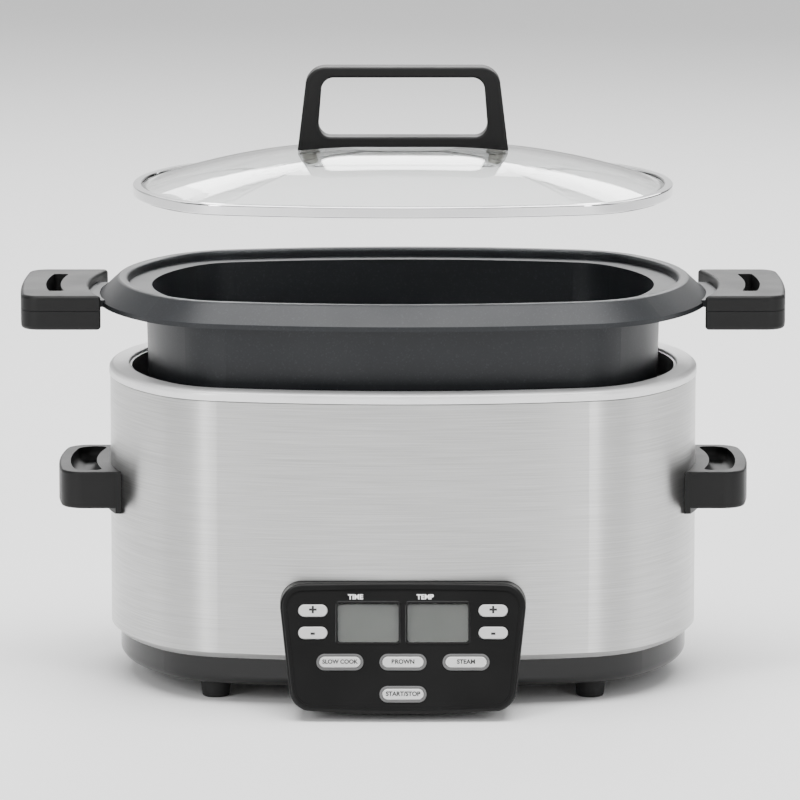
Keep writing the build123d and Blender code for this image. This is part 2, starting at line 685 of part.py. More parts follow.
def transformer():
    core = block(34, POWER_BOARD_Y + 8, BOARD_TOP + SHEET_GAP, BOARD_TOP + 17, 30, 14)
    return core + block(34, POWER_BOARD_Y + 8, BOARD_TOP + 2, BOARD_TOP + 15, 20, 24)


def capacitor():
    can = Cylinder(5, 18)
    can = fillet(can.edges(), 0.8)
    return Pos(0, POWER_BOARD_Y + 14, BOARD_TOP + 5.2) * Rot(0, 90, 0) * can


def heat_sink():
    """Finned aluminium block that cools the triac."""
    body = block(0, POWER_BOARD_Y - 8, BOARD_TOP + SHEET_GAP, BOARD_TOP + 15, 26, 12)
    for i in range(5):
        body -= block(-10 + 5 * i, POWER_BOARD_Y - 5, BOARD_TOP + 3, BOARD_TOP + 20, 3, 12)
    return body


def ribbon_cable():
    """Flat cable from the power board, along the pan's floor and into the panel's case."""
    floor = PAN_BOTTOM + PAN_WALL + 2
    start = POWER_BOARD_Y - POWER_BOARD[1] / 2
    rise = -CASE_BACK + 16
    line = Polyline(
        (start - SHEET_GAP, BOARD_TOP - 0.5), (start - 8, BOARD_TOP - 0.5), (start - 12, floor),
        (rise, floor), (rise - 6, RIBBON_Z), (-CASE_BACK - 9, RIBBON_Z),
    )
    strip = trace(line, line_width=RIBBON_THICKNESS)
    return Pos(RIBBON_X - RIBBON_WIDTH / 2, 0, 0) * extrude(Plane.YZ * strip, RIBBON_WIDTH)


def heater_leads():
    """Sleeved wires from the element's cold pins down to the power board."""
    y = HOUSING_DEPTH / 2 - PLATE_INSET - ELEMENT_MARGIN
    high, low = PLATE_BOTTOM - TERMINAL_DROP - SHEET_GAP, BOARD_TOP + SHEET_GAP
    leads = []
    for x in (-1.1 * TERMINAL_SPACING / 2, 1.1 * TERMINAL_SPACING / 2):
        end = POWER_BOARD_Y - POWER_BOARD[1] / 2 + 3
        middle = (high + low) / 2
        line = FilletPolyline((x, y, high), (x, y, middle), (x, end, middle), (x, end, low), radius=2)
        leads.append(sweep(Plane(origin=line @ 0, z_dir=line % 0) * Circle(LEAD_DIAMETER / 2), line))
    return leads


# ---- Housing handles
def side_handle():
    """The +X handle: a half-moon block scooped on top and hollow below, on a thin mounting pad."""
    low = SIDE_HANDLE_BOTTOM
    high = low + SIDE_HANDLE_HEIGHT
    plan = grip_plan(SIDE_HANDLE_REACH, SIDE_HANDLE_HALF_LENGTH, SIDE_HANDLE_BOW, SIDE_HANDLE_CORNER)
    body = extrude(Pos(0, 0, low) * plan, high - low)
    body = fillet(lowest(body) + highest(body), SIDE_HANDLE_ROUND)
    pad = slab(-SIDE_HANDLE_PAD, low - SIDE_HANDLE_HEEL, high - 1) & block(
        HOUSING_WIDTH / 2, 0, low - SIDE_HANDLE_HEEL, high, 2 * END_BOW, 2 * SIDE_HANDLE_HALF_LENGTH
    )
    body = body + pad - slab(-SHEET_GAP, 0, BIG)
    root = outline(-HANDLE_ROOT)
    reach, half = SIDE_HANDLE_REACH - SCOOP_MARGIN, SIDE_HANDLE_HALF_LENGTH - SCOOP_MARGIN
    well = grip_plan(reach, half, SIDE_HANDLE_BOW, SIDE_HANDLE_CORNER - 4) - root
    well = fillet(well.vertices().group_by(Axis.X)[0], 5)
    scoop = extrude(Pos(0, 0, high - SCOOP_DEPTH) * well, SCOOP_DEPTH)
    body -= fillet(lowest(scoop), SCOOP_ROUND)
    reach, half = SIDE_HANDLE_REACH - GRIP_WALL, SIDE_HANDLE_HALF_LENGTH - GRIP_WALL
    grip = grip_plan(reach, half, SIDE_HANDLE_BOW, SIDE_HANDLE_CORNER - GRIP_WALL) - root
    body -= extrude(Pos(0, 0, low) * grip, SIDE_HANDLE_HEIGHT - SCOOP_DEPTH - GRIP_WALL)
    for y in (-SIDE_SCREW_Y, SIDE_SCREW_Y):
        hole = Cylinder(SCREW_4 / 2 + THREAD_GAP, HANDLE_ROOT)
        body -= Pos(end_x(0, y) + HANDLE_ROOT / 2 - 1, y, SIDE_SCREW_Z) * Rot(0, 90, 0) * hole
    return body


def side_handle_plates():
    """Steel strips inside the wrapper that spread the handle screws' load."""
    low, high = SIDE_SCREW_Z - 9, SIDE_SCREW_Z + 9
    inset = WRAPPER_WALL + SHEET_GAP
    strip = band(inset, inset + BACKING_WALL, low, high)
    strip &= block(HOUSING_WIDTH / 2, 0, low, high, 2 * END_BOW, 2 * SIDE_SCREW_Y + 16)
    for y in (-SIDE_SCREW_Y, SIDE_SCREW_Y):
        hole = Cylinder((SCREW_4 + SCREW_CLEARANCE) / 2, 2 * END_BOW)
        strip -= Pos(HOUSING_WIDTH / 2, y, SIDE_SCREW_Z) * Rot(0, 90, 0) * hole
    return both_ends(strip)


def side_handle_screws():
    inset = WRAPPER_WALL + BACKING_WALL + 4 * SHEET_GAP
    screws = []
    for y in (-SIDE_SCREW_Y, SIDE_SCREW_Y):
        seat = end_x(inset, abs(y) + SCREW_4)
        one = Pos(seat, y, SIDE_SCREW_Z) * Rot(0, 90, 0) * screw(SCREW_4, HANDLE_ROOT + 1)
        screws += [one, mirror(one, about=Plane.YZ)]
    return screws


# ---- Pot
def cooking_pot():
    """Cast pot: drafted body, ledge for the lid, round crest and a skirt that slopes down and out."""
    lean = (SKIRT_PROUD + CREST_INSET) / SKIRT_DROP
    edge_z = CREST - SKIRT_DROP
    low_z = edge_z - SKIRT_EDGE
    body = tapered(-SKIRT_PROUD, CREST_INSET, edge_z, CREST) + slab(-SKIRT_PROUD, low_z, edge_z)

    def underside(z):
        return CREST_INSET + SKIRT_WALL - (CREST - z) * lean

    body -= tapered(underside(low_z), underside(FLANGE_UNDERSIDE), low_z, FLANGE_UNDERSIDE)
    tub = tapered(POT_INSET + POT_DRAFT, POT_INSET, POT_BOTTOM, FLANGE_UNDERSIDE + 1)
    body += fillet(lowest(tub), POT_EDGE)
    body -= slab(POCKET_INSET, CREST - LEDGE_DROP, CREST + 1)
    inner = POT_INSET + POT_WALL
    cavity = tapered(inner + POT_DRAFT, inner, POT_BOTTOM + POT_FLOOR, CREST - LEDGE_DROP + 0.5)
    body -= fillet(lowest(cavity), POT_EDGE - POT_WALL)
    body = fillet(highest(body), CREST_ROUND)
    width, depth = 2 * LUG_REACH, 2 * LUG_HALF_LENGTH
    lug = block(HOUSING_WIDTH / 2, 0, CREST - LUG_BOTTOM, CREST - LUG_TOP, width, depth)
    lug -= slab(-SKIRT_PROUD + 1, CREST - LUG_BOTTOM, CREST)
    lug = fillet(lug.edges().filter_by(Axis.Z).group_by(Axis.X)[-1], LUG_CORNER)
    for y in (-LUG_SCREW_Y, LUG_SCREW_Y):
        lug -= Pos(HOUSING_WIDTH / 2 + LUG_SCREW_X, y, CREST) * Cylinder((SCREW_4 + SCREW_CLEARANCE) / 2, 60)
    body += both_ends(lug)
    recess = SENSOR_TRAVEL + MOVING_GAP
    return body - post(0, 0, POT_BOTTOM - 1, POT_BOTTOM + recess, SENSOR_BORE / 2 + 3)


def pot_handle_shell(low, high):
    """One shell of the +X pot handle, between two heights below the crest."""
    plan = grip_plan(POT_HANDLE_REACH, POT_HANDLE_HALF_LENGTH, POT_HANDLE_BOW, POT_HANDLE_CORNER)
    plan -= outline(-POT_HANDLE_STANDOFF)
    plan = fillet(plan.vertices().group_by(Axis.X)[0], 1.5)
    slot = outline(-SLOT_OUTER) - outline(SLOT_WIDTH - SLOT_OUTER)
    slot &= Pos(HOUSING_WIDTH / 2, 0) * Rectangle(4 * POT_HANDLE_REACH, 2 * SLOT_HALF_LENGTH)
    slot = fillet(slot.faces().sort_by(Axis.X)[-1].vertices(), SLOT_WIDTH / 4)
    shell = extrude(Pos(0, 0, CREST - low) * plan, low - high)
    outer = lowest(shell) if low == POT_HANDLE_BOTTOM else highest(shell)
    shell = fillet(outer, POT_HANDLE_ROUND)
    shell -= extrude(Pos(0, 0, CREST - low) * slot, low - high)
    gap = MOVING_GAP
    width, depth = 2 * (LUG_REACH + gap), 2 * (LUG_HALF_LENGTH + gap)
    return shell - block(HOUSING_WIDTH / 2, 0, CREST - LUG_BOTTOM - gap, CREST - LUG_TOP + gap, width, depth)


def pot_handle_upper():
    shell = pot_handle_shell(POT_HANDLE_PARTING, POT_HANDLE_TOP)
    for y in (-LUG_SCREW_Y, LUG_SCREW_Y):
        top = CREST - POT_HANDLE_TOP - 2.5
        shell -= post(HOUSING_WIDTH / 2 + LUG_SCREW_X, y, 0, top, SCREW_4 / 2 + THREAD_GAP)
    return shell


def pot_handle_lower():
    shell = pot_handle_shell(POT_HANDLE_BOTTOM, POT_HANDLE_PARTING + PARTING_GAP)
    for y in (-LUG_SCREW_Y, LUG_SCREW_Y):
        x = HOUSING_WIDTH / 2 + LUG_SCREW_X
        shell -= post(x, y, 0, CREST, (SCREW_4 + SCREW_CLEARANCE) / 2)
        shell -= post(x, y, 0, CREST - POT_HANDLE_BOTTOM + 4, SCREW_4 + 0.5)
    return shell


def pot_handle_screws():
    low = CREST - POT_HANDLE_BOTTOM + 4
    length = CREST - POT_HANDLE_TOP - 3 - low
    one = Pos(HOUSING_WIDTH / 2 + LUG_SCREW_X, 0, low) * screw(SCREW_4, length)
    screws = [Pos(0, y) * one for y in (-LUG_SCREW_Y, LUG_SCREW_Y)]
    return screws + [mirror(one, about=Plane.YZ) for one in screws]


# ---- Lid
def dome_rise(share):
    """Height of the dome where its section is `share` of its base's size."""
    return DOME_HEIGHT * (1 - share**DOME_POWER)


def dome(inset, base):
    sections = [Pos(0, 0, base + dome_rise(share)) * scale(outline(inset), share) for share in DOME_SECTIONS]
    return loft(sections)


def glass_z(base, x):
    """Height on the dome's centre line at X."""
    return base + dome_rise(abs(x) / (HOUSING_WIDTH / 2 - DOME_INSET))


def lid_glass():
    body = slab(LID_INSET + LID_BAND_WALL + SHEET_GAP, GLASS_LOW, DOME_BASE) + dome(DOME_INSET, DOME_BASE)
    inner = DOME_INSET + GLASS_THICKNESS
    body -= slab(inner, GLASS_LOW, GLASS_LOW + GLASS_LAND) + dome(inner, GLASS_LOW + GLASS_LAND)
    for x in (-LID_SCREW_X, LID_SCREW_X):
        body -= post(x, 0, 0, BIG, LID_SCREW / 2 + 0.5)
    return body


def lid_rim():
    """Polished steel channel pressed round the glass's edge."""
    body = slab(LID_INSET, LID_BOTTOM, LID_TOP)
    body = fillet(lowest(body) + highest(body), 1.0)
    body -= slab(LID_INSET + LID_LIP, LID_BOTTOM, LID_TOP)
    return body - slab(LID_INSET + LID_BAND_WALL, LID_BOTTOM + LID_LIP_THICKNESS, LID_TOP - LID_LIP_THICKNESS)


def lid_handle():
    """Closed arch whose foot bar follows the dome."""
    a, b = LID_HANDLE_FOOT_HALF, LID_HANDLE_TOP_HALF
    low, foot_z = DOME_BASE, glass_z(DOME_BASE, a) + GASKET_THICKNESS
    high = foot_z + LID_HANDLE_HEIGHT
    edge = Polyline((a, low), (a, foot_z), (b, high), (-b, high), (-a, foot_z), (-a, low), (a, low))
    outer = make_face(edge)
    outer = fillet(outer.vertices().group_by(Axis.Y)[-1], LID_HANDLE_ROUND)
    top = high - LID_HANDLE_BAR
    bottom = top - LID_HANDLE_OPENING_HEIGHT
    c, d = LID_OPENING_FOOT_HALF, LID_OPENING_TOP_HALF
    hole = make_face(Polyline((c, bottom), (d, top), (-d, top), (-c, bottom), (c, bottom)))
    hole = fillet(hole.vertices(), LID_OPENING_ROUND)
    body = extrude(Plane.XZ * (outer - hole), LID_HANDLE_THICKNESS / 2, both=True)
    sides = body.edges().group_by(Axis.Y)[0] + body.edges().group_by(Axis.Y)[-1]
    body = fillet(sides.filter_by(lambda edge: edge.center().Z > foot_z - 1), LID_HANDLE_EDGE)
    seat = DOME_BASE + GASKET_THICKNESS
    body -= dome(DOME_INSET, seat) + slab(DOME_INSET, DOME_BASE - 1, seat)
    for x in (-LID_SCREW_X, LID_SCREW_X):
        body -= post(x, 0, 0, glass_z(DOME_BASE, x) + 14, LID_SCREW / 2 + THREAD_GAP)
    return body


def lid_gaskets():
    """Silicone washers above and below the glass at each handle screw."""
    above = dome(DOME_INSET, DOME_BASE + GASKET_THICKNESS - SHEET_GAP)
    above -= dome(DOME_INSET, DOME_BASE + SHEET_GAP)
    inner, under = DOME_INSET + GLASS_THICKNESS, GLASS_LOW + GLASS_LAND
    below = dome(inner, under - SHEET_GAP) - dome(inner, under - GASKET_THICKNESS - 0.5)
    washers = []
    for layer in (above, below):
        for x in (-LID_SCREW_X, LID_SCREW_X):
            disc = post(x, 0, DOME_BASE, BIG, LID_WASHER_RADIUS)
            washers.append(layer & (disc - post(x, 0, 0, BIG, LID_SCREW / 2 + THREAD_GAP)))
    return washers


def lid_screws():
    inner_half = HOUSING_WIDTH / 2 - DOME_INSET - GLASS_THICKNESS
    edge_x = LID_SCREW_X + LID_SCREW
    seat = GLASS_LOW + GLASS_LAND + dome_rise(edge_x / inner_half) - GASKET_THICKNESS - 0.6
    length = glass_z(DOME_BASE, LID_SCREW_X) + 13 - seat
    return [Pos(x, 0, seat) * screw(LID_SCREW, length) for x in (-LID_SCREW_X, LID_SCREW_X)]


# ---- Assembly: each body's nodes, drawn closed up
def group(solids):
    return Compound([solid for shape in solids for solid in shape.solids()])


base = {
    "base_pan": base_pan(),
    "cord_gland": cord_gland(),
    "foot_screws": group(foot_screws()),
    "steel_wrapper": steel_wrapper(),
    "top_rim": top_rim(),
    "heating_liner": heating_liner(),
    "liner_nuts": group(liner_nuts()),
    "base_screws": group(base_screws()),
    "heater_plate": heater_plate(),
    "heater_element": heater_element(),
    "heat_shield": heat_shield(),
    "thermal_fuse": thermal_fuse(),
    "sensor_cup": sensor_cup(),
    "sensor_spring": sensor_spring(),
    "power_board": power_board(),
    "relay": relay(),
    "transformer": transformer(),
    "capacitor": capacitor(),
    "heat_sink": heat_sink(),
    "ribbon_cable": ribbon_cable(),
    "heater_leads": group(heater_leads()),
    "panel_bezel": panel_bezel(),
    "panel_back": panel_back(),
    "control_board": control_board(),
    "panel_screws": group(panel_screws()),
    "tact_switches": group(tact_switches()),
    "button_rings": group(button_rings()),
    "lcd_window_time": lcd_window(-1),
    "lcd_window_temp": lcd_window(1),
    "lcd_time": lcd_module(-1),
    "lcd_temp": lcd_module(1),
    "side_handle_right": side_handle(),
    "side_handle_left": mirror(side_handle(), about=Plane.YZ),
    "side_handle_plates": side_handle_plates(),
    "side_handle_screws": group(side_handle_screws()),
    "sensor_cap": sensor_cap(),
}
for end, x in (("left", -FOOT_X), ("right", FOOT_X)):
    for side, y in (("front", -FOOT_Y), ("rear", FOOT_Y)):
        base[f"foot_{side}_{end}"] = Pos(x, y) * foot()
for name in KEYS:
    base[name] = key(name)
pot = {
    "cooking_pot": cooking_pot(),
    "pot_handle_right_upper": pot_handle_upper(),
    "pot_handle_right_lower": pot_handle_lower(),
    "pot_handle_left_upper": mirror(pot_handle_upper(), about=Plane.YZ),
    "pot_handle_left_lower": mirror(pot_handle_lower(), about=Plane.YZ),
    "pot_handle_screws": group(pot_handle_screws()),
}
lid = {
    "lid_glass": lid_glass(),
    "lid_rim": lid_rim(),
    "lid_handle": lid_handle(),
    "lid_gaskets": group(lid_gaskets()),
    "lid_screws": group(lid_screws()),
}

placed = dict(base)
placed.update({name: Pos(0, 0, REST_POT_LIFT) * shape for name, shape in pot.items()})
placed.update({name: Pos(0, 0, REST_POT_LIFT + REST_LID_LIFT) * shape for name, shape in lid.items()})
boxes = [shape.bounding_box() for shape in placed.values()]
middle_y = (min(box.min.Y for box in boxes) + max(box.max.Y for box in boxes)) / 2
os.makedirs("parts", exist_ok=True)
for name, shape in placed.items():
    export_step(Pos(0, -middle_y, 0) * shape, f"parts/{name}.step")
print("nodes", len(placed), "housing centre line at y =", round(-middle_y, 3))
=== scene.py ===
import json
from math import atan2, cos, radians, sin

import bpy
from mathutils import Matrix, Vector


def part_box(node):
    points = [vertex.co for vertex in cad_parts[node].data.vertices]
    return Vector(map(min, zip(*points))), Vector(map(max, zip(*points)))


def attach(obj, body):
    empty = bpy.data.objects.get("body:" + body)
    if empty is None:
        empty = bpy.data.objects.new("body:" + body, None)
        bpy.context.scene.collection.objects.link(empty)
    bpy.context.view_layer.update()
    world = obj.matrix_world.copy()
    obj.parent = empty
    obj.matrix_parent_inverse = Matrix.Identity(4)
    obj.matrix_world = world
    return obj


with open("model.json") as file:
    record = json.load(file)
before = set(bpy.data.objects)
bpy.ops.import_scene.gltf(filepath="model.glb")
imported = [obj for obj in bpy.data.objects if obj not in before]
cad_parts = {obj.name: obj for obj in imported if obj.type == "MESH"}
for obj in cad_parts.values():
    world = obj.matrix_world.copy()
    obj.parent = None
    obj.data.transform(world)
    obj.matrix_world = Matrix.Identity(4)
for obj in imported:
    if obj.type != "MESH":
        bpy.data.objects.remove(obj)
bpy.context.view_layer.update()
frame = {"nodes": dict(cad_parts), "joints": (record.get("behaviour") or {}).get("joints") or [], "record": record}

bl_info = {
    "name": "Slow cooker looks",
    "version": (1, 0, 0),
    "blender": (4, 5, 0),
    "location": "3D View > Sidebar > Slow cooker",
    "description": "Finishes, panel lettering and display frames of an oblong slow cooker, with its stage",
    "category": "Add Mesh",
}

NODES = frame["nodes"]
BODY_OF = {node: body for body, nodes in frame["record"]["behaviour"]["bodies"].items() for node in nodes}
SLOT_OF = {part["node"]: part["material_slot"] for part in frame["record"]["subparts"]}
MM = 0.001


# ---- The control panel's sloping face, read from the way the keys are pressed
PRESS = Vector(next(joint["axis"] for joint in frame["joints"] if joint["name"] == "start_stop_press"))
OUT = -PRESS.normalized()
LEAN = atan2(-OUT.y, OUT.z)
UP = Vector((0, cos(LEAN), sin(LEAN)))


def face_spot(node):
    """Middle of a panel part's outermost surface."""
    points = [vertex.co for vertex in NODES[node].data.vertices]
    across = [point.x for point in points]
    along = [point.dot(UP) for point in points]
    out = max(point.dot(OUT) for point in points)
    middle = Vector(((min(across) + max(across)) / 2, 0, 0))
    return middle + UP * (min(along) + max(along)) / 2 + OUT * out


# ---- Sizes of the lettering and the display frames that stay with the panel
BEZEL_LIP = 0.8 * MM  # how far the bezel's edge stands above its face
BEZEL_FACE = face_spot("panel_bezel").dot(OUT) - BEZEL_LIP
CAPITALS = 0.7  # height of the font's capitals, as a share of its size
BOLD = 0.05  # how far each stroke is thickened, as a share of the capitals' height
WIDEST = 22.5 * MM  # room for a word on a key
LABEL_UP, LABEL_LEFT = 16.6 * MM, 8 * MM  # from the middle of a window to the word over it
WINDOW_LIP = 1.8 * MM  # how far a window runs under the bezel on each side
FRAME_CORNER = 2.6 * MM  # radius of a frame's corners
CORNER_STEPS = 6
FRAME_EDGE = 0.25 * MM  # bevel that breaks a frame's edges
SMOOTH_BELOW = radians(35)  # edges that turn less than this are shaded smooth

FINISH = {}  # the name of each slot's material, once the finishes are made


# ---- Sizes and colours a user would change
class CookerSizes(bpy.types.PropertyGroup):
    legend_height: bpy.props.FloatProperty(
        name="Key legend height", description="Capital height of the words on the keys",
        default=2.7 * MM, unit="LENGTH",
    )
    sign_height: bpy.props.FloatProperty(
        name="Sign height", description="Height of the plus and minus signs",
        default=6.2 * MM, unit="LENGTH",
    )
    label_height: bpy.props.FloatProperty(
        name="Label height", description="Capital height of the words over the displays",
        default=3.1 * MM, unit="LENGTH",
    )
    ink: bpy.props.FloatProperty(
        name="Ink thickness", description="How far printed lettering stands proud",
        default=0.06 * MM, unit="LENGTH",
    )
    frame_width: bpy.props.FloatProperty(
        name="Display frame width", description="Width of the bevelled frame round a display",
        default=1.5 * MM, unit="LENGTH",
    )
    frame_rise: bpy.props.FloatProperty(
        name="Display frame height", description="How far a display's frame stands proud",
        default=0.5 * MM, unit="LENGTH",
    )


class CookerColours(bpy.types.PropertyGroup):
    steel: bpy.props.StringProperty(
        name="Steel", description="Brushed housing, sRGB hex", default="#c2c2c1",
    )
    coating: bpy.props.StringProperty(
        name="Coating", description="Non-stick coating, sRGB hex", default="#1d1f22",
    )
    handles: bpy.props.StringProperty(
        name="Handles", description="Moulded handles, sRGB hex", default="#0b0b0b",
    )
    keys: bpy.props.StringProperty(
        name="Keys", description="Push keys, sRGB hex", default="#cfcfce",
    )
    ink: bpy.props.StringProperty(
        name="Dark ink", description="Lettering on the keys, sRGB hex", default="#070707",
    )
    light_ink: bpy.props.StringProperty(
        name="Light ink", description="Lettering on the panel, sRGB hex", default="#f6f6f6",
    )
    floor: bpy.props.StringProperty(
        name="Floor", description="Plain stage floor, sRGB hex", default="#fafafa",
    )


# ---- Node and colour helpers
def linear(text):
    """Opaque linear colour of an sRGB hex value."""
    parts = [int(text[i:i + 2], 16) / 255 for i in (1, 3, 5)]
    return [c / 12.92 if c <= 0.04045 else ((c + 0.055) / 1.055) ** 2.4 for c in parts] + [1.0]


def node(tree, kind, links=(), settings=(), **values):
    """Adds a node, sets its properties and its input values, and links its inputs."""
    made = tree.nodes.new(kind)
    for name, value in dict(settings).items():
        setattr(made, name, value)
    for name, value in values.items():
        made.inputs[name.replace("_", " ")].default_value = value
    for name, source in dict(links).items():
        tree.links.new(source, made.inputs[name])
    return made


def shader(name, colour, **values):
    """A new material with one principled shader, and what patterns are wired into."""
    material = bpy.data.materials.new(name)
    material.use_nodes = True
    tree = material.node_tree
    surface = tree.nodes["Principled BSDF"]
    surface.inputs["Base Color"].default_value = linear(colour)
    for socket, value in values.items():
        surface.inputs[socket.replace("_", " ")].default_value = value
    place = node(tree, "ShaderNodeTexCoord").outputs["Object"]
    return material, tree, surface, place


def grain(tree, place, spacing_mm, stretch=(1, 1, 1), detail=3.0):
    """Noise whose grains are `spacing_mm` across, made longer along an axis by a stretch under 1."""
    scale = [share / (spacing_mm * MM) for share in stretch]
    scaled = node(tree, "ShaderNodeMapping", {"Vector": place}, Scale=scale)
    return node(tree, "ShaderNodeTexNoise", {"Vector": scaled.outputs["Vector"]}, Scale=1.0, Detail=detail)


def spread(tree, source, low, high, start=0.3, end=0.7):
    """Maps a pattern's middle values onto a range."""
    return node(
        tree, "ShaderNodeMapRange", {"Value": source}, From_Min=start, From_Max=end, To_Min=low, To_Max=high
    ).outputs["Result"]


def tint(tree, source, dark, light, start=0.3, end=0.7):
    """Colour between two sRGB values, by a pattern."""
    ramp = node(tree, "ShaderNodeValToRGB", {"Fac": source})
    ramp.color_ramp.elements[0].position, ramp.color_ramp.elements[1].position = start, end
    ramp.color_ramp.elements[0].color, ramp.color_ramp.elements[1].color = linear(dark), linear(light)
    return ramp.outputs["Color"]


def bump(tree, surface, height, depth_mm, strength=1.0):
    """Fine relief from a pattern, too shallow to model."""
    made = node(tree, "ShaderNodeBump", {"Height": height}, Strength=strength, Distance=depth_mm * MM)
    tree.links.new(made.outputs["Normal"], surface.inputs["Normal"])


def darker(colour, share):
    """An sRGB hex value with each channel multiplied by a share."""
    return "#" + "".join(f"{min(255, round(int(colour[i:i + 2], 16) * share)):02x}" for i in (1, 3, 5))


def textured(name, colour, grit_mm, depth_mm, rough, vary=0.12, patch_mm=40.0, metallic=0.0, **values):
    """A moulded, cast or pressed finish: fine grit in its bump, and slow drift in its colour and gloss."""
    material, tree, surface, place = shader(name, colour, Metallic=metallic, **values)
    fine = grain(tree, place, grit_mm).outputs["Fac"]
    slow = grain(tree, place, patch_mm, detail=2.0).outputs["Fac"]
    tone = tint(tree, slow, darker(colour, 1 - vary), darker(colour, 1 + vary))
    tree.links.new(tone, surface.inputs["Base Color"])
    tree.links.new(spread(tree, slow, rough[0], rough[1]), surface.inputs["Roughness"])
    bump(tree, surface, fine, depth_mm)
    return material


# ---- Finishes, each named for what the real one is
def brushed_steel(colour):
    """Stainless sheet brushed level: hair lines run round the housing and stretch reflections upright."""
    material, tree, surface, place = shader(
        "brushed_stainless", colour, Metallic=1.0, Anisotropic=0.8, Anisotropic_Rotation=0.25
    )
    # Real hair lines are about 0.05 mm apart: 0.6 mm is as fine as the render shows.
    lines = grain(tree, place, 0.6, (0.012, 0.012, 1.0), 4.0).outputs["Fac"]
    slow = grain(tree, place, 90.0, detail=1.0).outputs["Fac"]
    tone = tint(tree, lines, darker(colour, 0.91), darker(colour, 1.05), 0.25, 0.75)
    tree.links.new(tone, surface.inputs["Base Color"])
    tree.links.new(spread(tree, slow, 0.3, 0.36), surface.inputs["Roughness"])
    tangent = node(tree, "ShaderNodeTangent", settings={"direction_type": "RADIAL", "axis": "Z"})
    tree.links.new(tangent.outputs["Tangent"], surface.inputs["Tangent"])
    bump(tree, surface, lines, 0.015)
    return material


def nonstick(colour):
    """Sprayed non-stick coating on cast aluminium: charcoal, satin, with fine bright metallic flecks."""
    material, tree, surface, place = shader(
        "speckled_nonstick", colour, Metallic=0.2, Specular_IOR_Level=0.35,
        Coat_Weight=0.08, Coat_Roughness=0.3,
    )
    # Real flecks are about 0.2 mm: 0.9 mm is as fine as the render shows.
    scaled = node(tree, "ShaderNodeMapping", {"Vector": place}, Scale=[1 / (0.9 * MM)] * 3)
    cells = node(tree, "ShaderNodeTexVoronoi", {"Vector": scaled.outputs["Vector"]}, Scale=1.0)
    fleck = tint(tree, cells.outputs["Color"], darker(colour, 0.96), darker(colour, 1.3), 0.7, 0.98)
    tree.links.new(fleck, surface.inputs["Base Color"])
    slow = grain(tree, place, 60.0, detail=2.0).outputs["Fac"]
    tree.links.new(spread(tree, slow, 0.36, 0.46), surface.inputs["Roughness"])
    bump(tree, surface, grain(tree, place, 0.8).outputs["Fac"], 0.03)
    return material


def clear_sheet(name, colour, rough, ior, ripple_mm=60.0):
    """A clear pane with a faint greenish body and a slow ripple left by bending it hot."""
    material, tree, surface, place = shader(name, colour, IOR=ior, Transmission_Weight=1.0, Roughness=rough)
    bump(tree, surface, grain(tree, place, ripple_mm, detail=1.0).outputs["Fac"], 0.1, 0.3)
    return material


